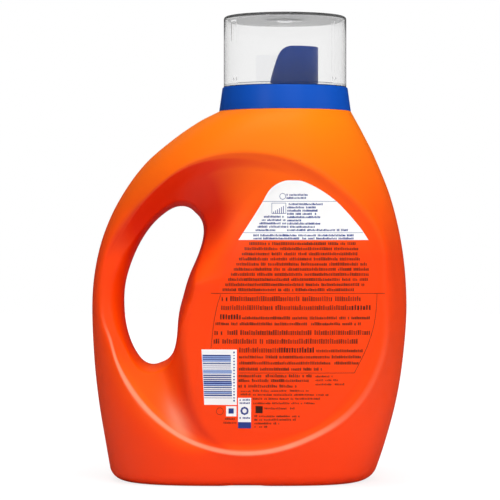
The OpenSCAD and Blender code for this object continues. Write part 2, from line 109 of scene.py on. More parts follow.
# By height: how the face goes from the grip's side up to the swell of the label panel
grip_side = [[0, 2.9], [20, 2.85], [31, 2.75], [40, 2.6], [50, 2.35], [65, 1.95], [78, 1.6], [94, 1.25],
             [110, 1.05], [125, 1], [140, 1], [154, 1.25], [169, 1.7], [188, 2.2], [220, 2.3]]
swell_from = [[0, -40], [26, -48], [37, -54], [48, -58], [63, -60], [83, -62], [104, -68.9], [220, -68.9]]
swell_to = [[0, 10], [20, -6], [28, -18], [37, -26], [48, -31], [63, -34], [83, -36], [104, -36], [120, -31],
            [136, -24], [152, -15], [163, -6], [183, 10], [220, 22]]
swell_bend = [[0, 1], [20, 1.2], [37, 1.8], [60, 2], [83, 1.3], [120, 1], [163, 0.8], [220, 0.8]]
# The swell's middle, and its rounding across and up
belly_x, belly_z = 26, 89
belly_round_x, belly_round_z = 500, 1150


def ease(t):
    """Smooth step from 0 to 1."""
    c = np.clip(t, 0, 1)
    return c * c * (3 - 2 * c)


def along(stations, place):
    """Smooth curve through [place, value] stations."""
    s = np.array(stations, float)
    n = len(s)
    lean = [(s[min(k + 1, n - 1), 1] - s[max(k - 1, 0), 1]) / (s[min(k + 1, n - 1), 0] - s[max(k - 1, 0), 0])
            for k in range(n)]
    lean = np.array(lean)
    k = np.clip(np.searchsorted(s[:, 0], place, side="right") - 1, 0, n - 2)
    gap = s[k + 1, 0] - s[k, 0]
    t = (place - s[k, 0]) / gap
    a, b = s[k, 1], s[k + 1, 1]
    p, q = lean[k] * gap, lean[k + 1] * gap
    return a + t * (p + t * (3 * (b - a) - 2 * p - q + t * (2 * (a - b) + p + q)))


def around(values, angle):
    """Smooth closed curve through values spaced evenly round the middle of the grip hole."""
    v = np.array(values, float)
    n = len(v)
    place = (angle / (2 * pi)) % 1 * n
    k = np.floor(place).astype(int)
    t = place - k
    a, b, c, d = (v[(k + step) % n] for step in (-1, 0, 1, 2))
    return b + 0.5 * t * (c - a + t * (2 * a - 5 * b + 4 * c - d + t * (3 * (b - c) + d - a)))


def hole_at(angle):
    """Reach of the grip hole at an angle round its middle."""
    across = np.cos(angle + grip_lean)
    up = np.sin(angle + grip_lean) / grip_stretch
    return around(hole_reach, np.arctan2(up, across)) / np.hypot(across, up)


def face_at(x, z):
    """Half depth of the moulded face, before its rim and its grip edge."""
    belly = body_d / 2 - (x - belly_x) ** 2 / (2 * belly_round_x) - (z - belly_z) ** 2 / (2 * belly_round_z)
    start, end = along(swell_from, z), along(swell_to, z)
    side = grip_half * along(grip_side, z)
    way = np.clip((x - start) / (end - start), 0, 1)
    return side + (belly - side) * ease(way ** along(swell_bend, z))


def inside_at(angle, r, inset):
    """Half depth inside the face's edge, hollowed beside the grip hole and rounded into it."""
    hole, edge = hole_at(angle) + inset, around(face_reach, angle)
    rim = np.maximum(0, 1 - (edge - r) / around(rim_reach, angle)) ** rim_full
    dip = np.clip(1 - (r - hole) / (dip_from * (edge - hole)), 0, 1) ** dip_bend
    w = np.clip(1 - (r - hole) / around(hole_round, angle), 0, 1)
    face = face_at(grip_x + r * np.cos(angle), grip_z + r * np.sin(angle))
    face = face + arch_step * around(rim_share, angle) * rim
    return (face * (1 - around(dip_share, angle) * dip) - inset) * np.sqrt(1 - w ** 2)


def toe(r, z):
    """How far the base edge's rounding stands back at a height."""
    return r - np.sqrt(np.maximum(0, r * r - np.maximum(0, r - z) ** 2))


def edge_x(stations, side, z, inset):
    """Place across of a side's outline at a height, set in by a wall and rounded at the base."""
    slope = along(stations, z + 0.5) - along(stations, z - 0.5)
    return along(stations, z) - side * (inset * np.sqrt(1 + slope ** 2) + toe(base_r - inset, z - inset))


def core_at(x, z, inset):
    """Half depth of the plain form that the sides, the shoulder and the base follow."""
    a, b = edge_x(left_edge, -1, z, inset), edge_x(right_edge, 1, z, inset)
    c = (2 * x - a - b) / (b - a)
    square = np.where(c > 0, along(square_right, z), along(square_left, z))
    half = along(core_half, z) - inset - toe(base_r - inset, z - inset)
    return half * np.sqrt(np.maximum(0, 1 - np.abs(c) ** square))


def side_at(angle, r, end, inset):
    """Half depth past the face's edge: the plain form, brought up to the face there."""
    edge = around(face_reach, angle)
    at_x, at_z = grip_x + edge * np.cos(angle), grip_z + edge * np.sin(angle)
    lift = inside_at(angle, edge, inset) - core_at(at_x, at_z, inset)
    plain = core_at(grip_x + r * np.cos(angle), grip_z + r * np.sin(angle), inset)
    return plain + lift * (1 - (r - edge) / (end - edge)) ** around(side_fall, angle)


def depth_at(angle, r, end, inset):
    """Half depth at any place of a ray, with the fold at the face's edge rounded."""
    edge = around(face_reach, angle)
    near, reach = 0.2, edge_w * around(edge_share, angle)
    at_edge = inside_at(angle, edge, inset)
    fold = 2 * at_edge - inside_at(angle, edge - near, inset) - side_at(angle, edge + near, end, inset)
    rounding = fold / near * reach / 4 * np.maximum(0, 1 - np.abs(r - edge) / reach) ** 2
    form = np.where(r <= edge, inside_at(angle, np.minimum(r, edge), inset),
                    side_at(angle, np.maximum(r, edge), end, inset))
    return np.maximum(0, form - rounding)


def relief_at(x):
    """Rise of the base's outline above the ground."""
    return relief_h * np.cos(np.minimum(np.abs(x - relief_x) / relief_w, 0.5) * pi) ** 2


corner_steps, right_steps, left_steps, mouth_steps, foot_steps, foot_rows = 10, 64, 72, 64, 64, 28
foot_turn = -np.cos(pi * np.arange(foot_steps + 1) / foot_steps)
mouth_turn = pi * np.arange(mouth_steps + 1) / mouth_steps


def foot_line(inset):
    """The base's outline, from left to right."""
    a, b = edge_x(left_edge, -1, inset, inset), edge_x(right_edge, 1, inset, inset)
    x = (a + b + (b - a) * foot_turn) / 2
    return np.column_stack([x, relief_at(x) + inset])


def mouth_line(inset):
    """The shoulder's top outline, from right to left."""
    z = body_h - inset
    a, b = edge_x(left_edge, -1, z, inset), edge_x(right_edge, 1, z, inset)
    return np.column_stack([(a + b + (b - a) * np.cos(mouth_turn)) / 2, np.full(mouth_steps + 1, z)])


def outline(inset):
    """The front outline, anticlockwise from the right end of the base line and back to it."""
    corner = inset + (base_r - inset) * (1 - np.cos(np.arange(corner_steps) / corner_steps * pi / 2))
    up = np.arange(right_steps) / right_steps
    right_z = np.append(corner, base_r + (body_h - inset - base_r) * up)
    up = np.arange(left_steps) / left_steps
    left_z = np.append(corner, base_r + (body_h - inset - base_r) * (1 - (1 - up) ** 1.5))[::-1]
    return np.vstack([np.column_stack([edge_x(right_edge, 1, right_z, inset), right_z]), mouth_line(inset),
                      np.column_stack([edge_x(left_edge, -1, left_z, inset), left_z]), foot_line(inset)[1:]])


def skin(inset, steps, side):
    """One side of a skin as a grid, from the grip hole's edge over the face and down the side.
    Its rows crowd where the form bends most."""
    line = outline(inset)
    dx, dz = line[:, 0] - grip_x, line[:, 1] - grip_z
    angle, end = np.arctan2(dz, dx)[:, None], np.hypot(dx, dz)[:, None]
    hole, edge = hole_at(angle) + inset, around(face_reach, angle)
    rise = around(hole_round, angle)
    up, across, down = (np.arange(n) / n for n in steps)
    down = np.append(down, 1)
    r = np.hstack([hole + rise * up ** 1.7, hole + rise + (edge - hole - rise) * (1 - (1 - across) ** 1.4),
                   edge + (end - edge) * (1 - np.cos(pi * down)) / 2])
    depth = depth_at(angle, r, end, inset)
    return np.stack([grip_x + r * np.cos(angle), side * depth, grip_z + r * np.sin(angle)], -1)


def base_grid(inset):
    """The pushed-up base inside the contact edge, as a grid."""
    line = foot_line(inset)
    row = np.cos(pi * np.arange(foot_rows + 1) / foot_rows)
    y = core_at(line[:, 0], line[:, 1], inset)[:, None] * -row
    inside = (1 - foot_turn[:, None] ** 6) * (1 - row ** 4)
    z = inset + push_up * ease((inside - 0.45) / 0.5) + relief_at(line[:, :1]) * ease(1 - 2 * inside)
    return np.stack([np.repeat(line[:, :1], foot_rows + 1, 1), y, z], -1)


def neck_grid():
    """The neck with its snap bead, from the outer shoulder over the rim and down the bore."""
    top = body_h
    bore = neck_r - wall
    rings = [[neck_r, top], [neck_r, top + bead_z]]
    bead_steps = 8
    for k in range(1, bead_steps):
        turn = pi * k / bead_steps
        rings.append([neck_r + bead * sin(turn), top + bead_z + bead_h * (1 - cos(turn)) / 2])
    rings += [[neck_r, top + bead_z + bead_h], [neck_r, top + neck_h - 0.4], [neck_r - 0.4, top + neck_h],
              [bore + 0.4, top + neck_h], [bore, top + neck_h - 0.4], [bore, top - wall]]
    turn = np.append(mouth_turn, mouth_turn[1:] + pi)
    rows = [np.column_stack([neck_x + r * np.cos(turn), -r * np.sin(turn), np.full(len(turn), z)])
            for r, z in rings]
    for inset, place in ((0, 0), (wall, len(rows) + 1)):
        line = mouth_line(inset)
        y = core_at(line[:, 0], line[:, 1], inset)
        front = np.column_stack([line[:, 0], -y, line[:, 1]])
        back = np.column_stack([line[:, 0], y, line[:, 1]])
        rows.insert(place, np.vstack([front, back[-2::-1]]))
    return np.stack(rows)


def mesh_from_grids(name, grids, smooth_angle=40):
    """A closed mesh from grids of points in millimetres, joined where they share points."""
    points, faces, start = [], [], 0
    for grid in grids:
        rows, columns = grid.shape[:2]
        index = start + np.arange(rows * columns).reshape(rows, columns)
        corners = [index[:-1, :-1], index[:-1, 1:], index[1:, 1:], index[1:, :-1]]
        faces.append(np.stack(corners, -1).reshape(-1, 4))
        points.append(grid.reshape(-1, 3))
        start += rows * columns
    mesh = bpy.data.meshes.new(name)
    mesh.from_pydata((np.vstack(points) * mm).tolist(), [], np.vstack(faces).tolist())
    work = bmesh.new()
    work.from_mesh(mesh)
    bmesh.ops.remove_doubles(work, verts=work.verts, dist=0.002 * mm)
    bmesh.ops.dissolve_degenerate(work, edges=work.edges, dist=0.0005 * mm)
    bmesh.ops.recalc_face_normals(work, faces=work.faces)
    work.to_mesh(mesh)
    work.free()
    mesh.shade_smooth()
    mesh.set_sharp_from_angle(angle=radians(smooth_angle))
    piece = bpy.data.objects.new(name, mesh)
    bpy.context.scene.collection.objects.link(piece)
    return piece


def material(name):
    """A new material, with its node tree and its surface shader."""
    made = bpy.data.materials.new(name)
    made.use_nodes = True
    return made, made.node_tree, made.node_tree.nodes["Principled BSDF"]


def math_node(tree, operation, first, second=0.0, third=0.0):
    """A Math node on two or three sockets or numbers."""
    node = tree.nodes.new("ShaderNodeMath")
    node.operation = operation
    for socket, value in zip(node.inputs, (first, second, third)):
        if isinstance(value, (int, float)):
            socket.default_value = value
        else:
            tree.links.new(value, socket)
    return node.outputs[0]


def object_place(tree):
    """The x, y and z of a point in the object's own frame, and the whole vector."""
    coordinates = tree.nodes.new("ShaderNodeTexCoord")
    split = tree.nodes.new("ShaderNodeSeparateXYZ")
    tree.links.new(coordinates.outputs["Object"], split.inputs[0])
    return split.outputs[0], split.outputs[1], split.outputs[2], coordinates.outputs["Object"]


def noise(tree, place, scale, detail=2.0):
    """The strength of a Noise texture at a place."""
    node = tree.nodes.new("ShaderNodeTexNoise")
    node.inputs["Scale"].default_value = scale
    node.inputs["Detail"].default_value = detail
    tree.links.new(place, node.inputs["Vector"])
    return node.outputs[0]


def ramp(tree, factor, stops):
    """A colour ramp of [place, colour] stops."""
    node = tree.nodes.new("ShaderNodeValToRGB")
    tree.links.new(factor, node.inputs[0])
    elements = node.color_ramp.elements
    while len(elements) < len(stops):
        elements.new(0.5)
    for element, (place, colour) in zip(elements, stops):
        element.position = place
        element.color = (*colour, 1)
    return node.outputs[0]


def bump(tree, height, distance, strength=1.0):
    """A normal that is tilted by a height."""
    node = tree.nodes.new("ShaderNodeBump")
    node.inputs["Strength"].default_value = strength
    node.inputs["Distance"].default_value = distance
    tree.links.new(height, node.inputs["Height"])
    return node.outputs[0]


def point_value(tree, name):
    """The value that a mesh carries on its points under a name."""
    node = tree.nodes.new("ShaderNodeAttribute")
    node.attribute_name = name
    return node.outputs["Fac"]


def blended(tree, factor, first, second):
    """A colour mixed towards a fixed second one by a factor."""
    node = tree.nodes.new("ShaderNodeMix")
    node.data_type = "RGBA"
    tree.links.new(factor, node.inputs[0])
    tree.links.new(first, node.inputs[6])
    node.inputs[7].default_value = (*second, 1)
    return node.outputs[2]


def orange_by_height(tree, z):
    """The shell's orange, redder below and yellower towards the shoulder, as painted light from above."""
    whole_h = 230 * mm
    stops = [(0.0, (0.94, 0.045, 0.0005)), (0.3, (0.96, 0.055, 0.0005)), (0.58, (0.97, 0.052, 0.0005)),
             (0.7, (0.97, 0.085, 0.0005)), (0.8, (0.98, 0.13, 0.001)), (0.93, (0.98, 0.2, 0.001))]
    return ramp(tree, math_node(tree, "MULTIPLY", z, 1 / whole_h), stops)


orange, tree, shader = material("orange_polyethylene")
y, z, place = object_place(tree)[1:]
# Colours that paint light and shade into the shell: a yellower orange where it is lit, a dark red in shade,
# and a pale pink for highlights
lit_orange, shaded_red, highlight_pink = (0.98, 0.2, 0.001), (0.7, 0.012, 0.0005), (0.97, 0.30, 0.17)
painted_highlight, painted_light_and_shade = point_value(tree, "painted_highlight"), point_value(tree, "painted_light_and_shade")
# Painted light turns lit places yellower and painted shade turns shaded places redder
lit_share = math_node(tree, "MULTIPLY", math_node(tree, "MAXIMUM", painted_light_and_shade, 0), 0.7)
shade_share = math_node(tree, "MULTIPLY", math_node(tree, "MINIMUM", painted_light_and_shade, 0), -1.4)
shell_colour = blended(tree, lit_share, orange_by_height(tree, z), lit_orange)
shell_colour = blended(tree, math_node(tree, "MINIMUM", shade_share, 0.9), shell_colour, shaded_red)
# A pale pink painted highlight on the crest of the face's edge and on a patch above it, uneven by a noise;
# the shell is glossier there too
highlight_mix = math_node(tree, "MULTIPLY", painted_highlight, math_node(tree, "MULTIPLY_ADD", noise(tree, place, 70), 0.4, 0.8))
tree.links.new(blended(tree, highlight_mix, shell_colour, highlight_pink), shader.inputs["Base Color"])
tree.links.new(math_node(tree, "MULTIPLY_ADD", painted_highlight, -0.2, 0.42), shader.inputs["Roughness"])
shader.inputs["Specular IOR Level"].default_value = 0.22
# The mould's parting seam, the fine grain of its skin, and the slow waves of a blown wall
seam_half, seam_soft, seam_depth = 0.3 * mm, 0.2 * mm, 0.25
grain_h, wave_h = 0.04 * mm, 0.3 * mm
seam = math_node(tree, "SMOOTH_MIN", math_node(tree, "ABSOLUTE", y), seam_half, seam_soft)
grain = math_node(tree, "MULTIPLY", noise(tree, place, 900), grain_h)
waves = math_node(tree, "MULTIPLY", noise(tree, place, 14), wave_h)
dents = math_node(tree, "SUBTRACT", grain, math_node(tree, "MULTIPLY", seam, seam_depth))
tree.links.new(bump(tree, math_node(tree, "ADD", dents, waves), 1.0), shader.inputs["Normal"])

# Rows from the hole to its rounding, over the face and down the side, on the outer and the inner skin
outer_steps, inner_steps = (16, 40, 26), (6, 14, 10)
bottle = mesh_from_grids("blown_bottle", [
    skin(0, outer_steps, -1), skin(0, outer_steps, 1),
    skin(wall, inner_steps, -1), skin(wall, inner_steps, 1),
    base_grid(0), base_grid(wall), neck_grid()])
bottle.data.materials.append(orange)


def leaning(x, z, lean):
    """How far places lie beside and along a line that leans clockwise from upright."""
    return x * cos(lean) - z * sin(lean), z * cos(lean) + x * sin(lean)


point_places = np.empty(len(bottle.data.vertices) * 3)
bottle.data.vertices.foreach_get("co", point_places)
at_x, at_z = point_places[::3] / mm, point_places[2::3] / mm
from_grip, grip_turn = np.hypot(at_x - grip_x, at_z - grip_z), np.arctan2(at_z - grip_z, at_x - grip_x)
hole, edge = hole_at(grip_turn), around(face_reach, grip_turn)

# This point value marks a painted highlight, paler and glossier, on the crest of the face's edge, with its
# share and half width in steps round the grip's middle, and a painted highlight patch above it
highlight_share = [0] * 14 + [0.15, 0.6, 0.85, 0.9, 1, 1, 1, 0.85, 0.3, 0.1]
crest_half = [1.5] * 14 + [0.9, 0.9, 1.1, 1.8, 1.7] + [1.5] * 5
crest_back = 0.5
patch_x, patch_z, patch_lean = -41.5, 37.5, radians(-26)
patch_highlight, patch_half_w, patch_half_h, patch_fade = 0.72, 5, 12.5, 2
past_crest = from_grip - edge + crest_back
highlight_mask = np.clip(around(highlight_share, grip_turn), 0, 1) * np.exp(-(past_crest / around(crest_half, grip_turn)) ** 4)
beside, ahead = leaning(at_x - patch_x, at_z - patch_z, patch_lean)
patch = patch_highlight * np.exp(-(beside / patch_half_w) ** 2 - (ahead / patch_half_h) ** 2)
highlight_mask = np.maximum(highlight_mask, patch * np.clip(1 - past_crest / patch_fade, 0, 1))
bottle.data.attributes.new("painted_highlight", "FLOAT", "POINT").data.foreach_set("value", highlight_mask.astype(np.float32))

# This point value paints light and shade: above 0 the shell is painted yellower, as lit, on faces that look
# up, most low down, and on a leaning band; below 0 it is painted redder, as shade, on faces that look down
# high up, in the hollow beside the hole, along the panel's crease, on the hole's rolled edge and in its
# corner
crease_back, crease_half, crease_shade = 4.5, 2.5, 0.3
roll_in, roll_half, roll_shade = 1.5, 4, 0.3
corner_x, corner_z, corner_half_w, corner_half_h, corner_shade = -20.5, 158, 11, 16, 0.5
band_x, band_z, band_lean, band_half_w, band_half_h, band_light = -11.5, 146, radians(35), 4.5, 28, 0.3
hollow_shade = 1.1
normals = np.empty(len(bottle.data.vertices) * 3)
bottle.data.vertices.foreach_get("normal", normals)
painted_tone = np.clip(normals[2::3], -1, 0.6)
painted_tone *= np.where(painted_tone < 0, ease((at_z - 100) / 50), 0.25 + 0.75 * ease((85 - at_z) / 30))
hollow = np.clip(1 - (from_grip - hole) / (dip_from * (edge - hole)), 0, 1) ** dip_bend
painted_tone -= hollow_shade * around(dip_share, grip_turn) * hollow
crease = np.exp(-((at_x - along(swell_to, np.clip(at_z, 0, body_h)) + crease_back) / crease_half) ** 2)
painted_tone -= crease_shade * crease * ease((at_z - 20) / 14) * ease((80 - at_z) / 30)
painted_tone -= roll_shade * np.exp(-((from_grip - hole - roll_in) / roll_half) ** 2) * ease(2 * np.cos(grip_turn))
painted_tone -= corner_shade * np.exp(-((at_x - corner_x) / corner_half_w) ** 2
                            - ((at_z - corner_z) / corner_half_h) ** 2)
beside, ahead = leaning(at_x - band_x, at_z - band_z, band_lean)
painted_tone += band_light * np.exp(-(beside / band_half_w) ** 2 - (ahead / band_half_h) ** 4)
bottle.data.attributes.new("painted_light_and_shade", "FLOAT", "POINT").data.foreach_set("value", painted_tone.astype(np.float32))
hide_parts("bottle")
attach(bottle, "container")

# The back label is one printed film stuck to the moulded panel. Its print is a white field at the top, a
# striped one at the side, thin rules and rows of small marks.
label_x, label_z = 21, 99
label_reach = [54.5, 55, 60, 63.5, 67.5, 73.5, 78.5, 64, 52, 46.5, 43, 41, 43, 46.5, 57.5, 71, 69.5, 69, 67,
               65.5, 59.5, 55.5, 53.5, 53.5]
# Heights over the face: the film's two sides, and the tops of the fields, of the pale bars and of the marks
film_under, film_top, field_top, bar_top, mark_top = 0.03, 0.15, 0.17, 0.18, 0.19
mark_t, ink_sunk = 0.06, 0.02


def over_face(flat, lift):
    """Places in front of the moulded face, from [across, up] places and a height over the face."""
    x, z = flat[..., 0], flat[..., 1]
    half = inside_at(np.arctan2(z - grip_z, x - grip_x), np.hypot(x - grip_x, z - grip_z), 0)
    return np.stack([x, -half - lift, z], -1)


def sheet_grids(flat, under, top, closed=False):
    """Grids of a thin sheet on the face. A closed one goes round its own middle."""
    front, rear = over_face(flat, top), over_face(flat, under)
    rims = [(front[-1], rear[-1])] if closed else [
        (front[0], rear[0]), (front[-1], rear[-1]), (front[:, 0], rear[:, 0]), (front[:, -1], rear[:, -1])]
    return [front, rear] + [np.stack(rim) for rim in rims]


def block(left, right, low, high):
    """A flat upright rectangle as a fine grid."""
    across, up = np.linspace(left, right, 16), np.linspace(low, high, 16)
    return np.stack(np.meshgrid(across, up, indexing="ij"), -1)


def stroke(path, width):
    """A narrow band along a path of [across, up] points."""
    path = np.array(path, float)
    steps = np.hypot(*np.diff(path, axis=0).T)
    place = np.append(0, np.cumsum(steps))
    fine = np.linspace(0, place[-1], max(3, int(place[-1] / 1.2)))
    line = np.column_stack([np.interp(fine, place, path[:, 0]), np.interp(fine, place, path[:, 1])])
    ahead = np.gradient(line, axis=0)
    ahead /= np.hypot(ahead[:, 0], ahead[:, 1])[:, None]
    aside = np.column_stack([-ahead[:, 1], ahead[:, 0]]) * width / 2
    return np.stack([line - aside, line + aside], 1)


def ink(name, colour, roughness=0.3):
    """A printed ink that varies slightly in strength."""
    made, tree, shader = material(name)
    place = object_place(tree)[3]
    stronger = tuple(min(1, part * 1.06) for part in colour)
    shade = ramp(tree, noise(tree, place, 90), [(0.3, colour), (0.7, stronger)])
    tree.links.new(shade, shader.inputs["Base Color"])
    shader.inputs["Roughness"].default_value = roughness
    return made


film, tree, shader = material("orange_film")
z, place = object_place(tree)[2:]
uneven = math_node(tree, "MULTIPLY_ADD", noise(tree, place, 90), 2 * mm, z)
# The film's orange follows the shell's height ramp, with the same painted light towards the top
tree.links.new(orange_by_height(tree, uneven), shader.inputs["Base Color"])
shader.inputs["Roughness"].default_value = 0.38
shader.inputs["Specular IOR Level"].default_value = 0.25
white_ink = ink("white_ink", (0.87, 0.87, 0.87))
blue_ink = ink("blue_ink", (0.02, 0.045, 0.24))
pale_ink = ink("pale_blue_ink", (0.33, 0.45, 0.75))
brown_ink = ink("brown_ink", (0.15, 0.022, 0.005))
deep_ink = ink("deep_brown_ink", (0.065, 0.014, 0.005))
dark_ink = ink("dark_brown_ink", (0.05, 0.012, 0.006))


def mark_tree():
    """Rows of small printed marks along lines: each mark stands on its line and has a size of its own."""
    tree = bpy.data.node_groups.new("printed_marks", "GeometryNodeTree")
    tree.interface.new_socket("Geometry", in_out="INPUT", socket_type="NodeSocketGeometry")
    for name, kind in (("Pitch", "Float"), ("Smallest mark", "Vector"), ("Largest mark", "Vector"),
                       ("Filled share", "Float"), ("Points across", "Int"), ("Seed", "Int"),
                       ("Ink", "Material")):
        tree.interface.new_socket(name, in_out="INPUT", socket_type="NodeSocket" + kind)
    tree.interface.new_socket("Geometry", in_out="OUTPUT", socket_type="NodeSocketGeometry")
    given = tree.nodes.new("NodeGroupInput")
    curve = tree.nodes.new("GeometryNodeMeshToCurve")
    points = tree.nodes.new("GeometryNodeCurveToPoints")
    points.mode = "LENGTH"
    cube = tree.nodes.new("GeometryNodeMeshCube")
    cube.inputs["Size"].default_value = (1, 1, 1)
    stand = tree.nodes.new("GeometryNodeTransform")
    stand.inputs["Translation"].default_value = (0, 0, 0.5)
    size = tree.nodes.new("FunctionNodeRandomValue")
    size.data_type = "FLOAT_VECTOR"
    kept = tree.nodes.new("FunctionNodeRandomValue")
    kept.data_type = "BOOLEAN"
    place = tree.nodes.new("GeometryNodeInstanceOnPoints")
    whole = tree.nodes.new("GeometryNodeRealizeInstances")
    inked = tree.nodes.new("GeometryNodeSetMaterial")
    out = tree.nodes.new("NodeGroupOutput")
    link = tree.links.new
    link(given.outputs["Geometry"], curve.inputs[0])
    link(curve.outputs[0], points.inputs["Curve"])
    link(given.outputs["Pitch"], points.inputs["Length"])
    link(given.outputs["Points across"], cube.inputs["Vertices X"])
    link(cube.outputs["Mesh"], stand.inputs["Geometry"])
    link(given.outputs["Smallest mark"], size.inputs[0])
    link(given.outputs["Largest mark"], size.inputs[1])
    link(given.outputs["Filled share"], kept.inputs["Probability"])
    link(given.outputs["Seed"], size.inputs["Seed"])
    link(given.outputs["Seed"], kept.inputs["Seed"])
    link(points.outputs["Points"], place.inputs["Points"])
    link(kept.outputs[3], place.inputs["Selection"])
    link(stand.outputs[0], place.inputs["Instance"])
    link(size.outputs[0], place.inputs["Scale"])
    link(place.outputs[0], whole.inputs[0])
    link(whole.outputs[0], inked.inputs["Geometry"])
    link(given.outputs["Ink"], inked.inputs["Material"])
    link(inked.outputs[0], out.inputs[0])
    return tree


marks = mark_tree()


def printed_rows(rows, pitch, smallest, largest, share, seed, ink_used, points_across=2):
    """A mesh of the marks along rows of (left, right, height), or along upright rows of two points."""
    points, edges = [], []
    for row in rows:
        ends = row if len(row) == 2 else ((row[0], row[2]), (row[1], row[2]))
        edges.append((len(points), len(points) + 1))
        points += [(a * mm, 0, b * mm) for a, b in ends]
    mesh = bpy.data.meshes.new("rows")
    mesh.from_pydata(points, edges, [])
    holder = bpy.data.objects.new("rows", mesh)
    bpy.context.scene.collection.objects.link(holder)
    modifier = holder.modifiers.new("marks", "NODES")
    modifier.node_group = marks
    sizes = [(wide * mm, mark_t * mm, high * mm) for wide, high in (smallest, largest)]
    values = {"Pitch": pitch * mm, "Smallest mark": sizes[0], "Largest mark": sizes[1], "Filled share": share,
              "Points across": points_across, "Seed": seed, "Ink": ink_used}
    for socket in marks.interface.items_tree:
        if socket.in_out == "INPUT" and socket.name in values:
            modifier[socket.identifier] = values[socket.name]
    made = bpy.data.meshes.new_from_object(holder.evaluated_get(bpy.context.evaluated_depsgraph_get()))
    holder.modifiers.remove(modifier)
    bpy.data.objects.remove(holder)
    return made, ink_used


def lay_on_face(mesh):
    """Moves flat marks onto the face. Their own depth stays as the ink's thickness."""
    flat = np.empty(len(mesh.vertices) * 3)
    mesh.vertices.foreach_get("co", flat)
    flat = flat.reshape(-1, 3) / mm
    laid = over_face(flat[:, ::2], mark_top - mark_t / 2)
    laid[:, 1] += flat[:, 1]
    mesh.vertices.foreach_set("co", (laid * mm).ravel())


reach_turn = np.arange(289) * 2 * pi / 288
share_out = np.linspace(0, 1, 60)[:, None]
reach = around(label_reach, reach_turn) * share_out
film_flat = np.stack([label_x + reach * np.cos(reach_turn), label_z + reach * np.sin(reach_turn)], -1)
label = mesh_from_grids("printed_label", sheet_grids(film_flat, film_under, film_top, closed=True))
label.data.materials.append(film)

# White fields: the large one under its arched top, the striped one with its slanted side, and two small ones
panel_low = 143.2
panel_top = [[-6.3, panel_low], [3.6, 158.6], [7.7, 165.3], [11, 171.1], [14.3, 174.5], [20.2, 177.3],
             [25.7, 177.6], [31.2, 177], [40.8, 172.3], [49.7, 166], [57, 158.6], [64.4, 149.8],
             [68.8, panel_low]]
panel_x = np.linspace(panel_top[0][0], panel_top[-1][0], 120)
panel_z = panel_low + np.maximum(0, along(panel_top, panel_x) - panel_low) * np.linspace(0, 1, 36)[:, None]
panel = np.stack([np.broadcast_to(panel_x, panel_z.shape), panel_z], -1)
striped_low, striped_high, striped_left, striped_w, striped_slant = 48, 80, -27.6, 20.4, 1.6
striped = block(0, 1, striped_low, striped_high)
moved_in = striped_slant * (striped_high - striped[..., 1]) / (striped_high - striped_low)
striped[..., 0] = striped_left + moved_in + striped[..., 0] * (striped_w - moved_in)
white_fields = [panel, striped, block(-13.4, -7.4, 41.4, 47.3), block(-6.5, 1, 38.1, 52.1)]

# Rules, rings and small bars
ring_turn = np.linspace(0, 2 * pi, 33)


def ring(x, z, radius, width):
    """A flat ring round a place on the label."""
    return stroke(np.column_stack([x + radius * np.cos(ring_turn), z + radius * np.sin(ring_turn)]), width)


rule_w = 0.3
frame_right = [[66.5, 60.6], [78.2, 66.5], [87.8, 70.2], [96.6, 72.4], [106.2, 73.5], [112.4, 73.7]]
frame_left = [[80.8, -22.1], [95.1, -20.5], [105.8, -18.4], [112, -16.4]]
right_z, left_z = np.linspace(66.5, 112.4, 30), np.linspace(112, 80.8, 20)
brown_rules = [stroke([(-22.1, 112.4), (78.2, 112.4)], rule_w), stroke([(-5.9, 66.5), (60.6, 66.5)], rule_w),
               stroke(np.column_stack([along(frame_right, right_z), right_z]), rule_w),
               stroke(np.column_stack([along(frame_left, left_z), left_z]), rule_w),
               ring(-17, 44.3, 2.1, 0.25)]
blue_rules = [stroke([(7.9, 165.5), (50.3, 165.5)], 0.22), stroke([(-3.6, 147.4), (65.6, 147.4)], 0.22),
              stroke([(13, 158.5), (21.1, 158.5)], rule_w), stroke([(13, 158.4), (13, 164.5)], 0.25),
              stroke([(21.1, 158.4), (21.1, 164.5)], 0.25), stroke([(13, 164.5), (21.1, 164.5)], 0.25),
              ring(19.3, 168.4, 1.8, rule_w), ring(-2.75, 44.6, 1.9, 1.1)]
blue_rules += [stroke([(14 + 1.15 * k, 158.6), (14 + 1.15 * k, 159.6 + 0.65 * k)], 0.4) for k in range(6)]
blue_blocks = [block(-6.5, 1, 34.5, 38.1), block(-12, -9, 43, 46)]
pale_bars = [block(-26.1, -10, 54.4, 55.6), block(-26.4, -10, 59, 61.2), block(-26.7, -10, 66.2, 68),
             block(-27.1, -10.6, 73, 76.3)]
dark_blocks = [block(3.6, 7.7, 43.3, 47.4)]

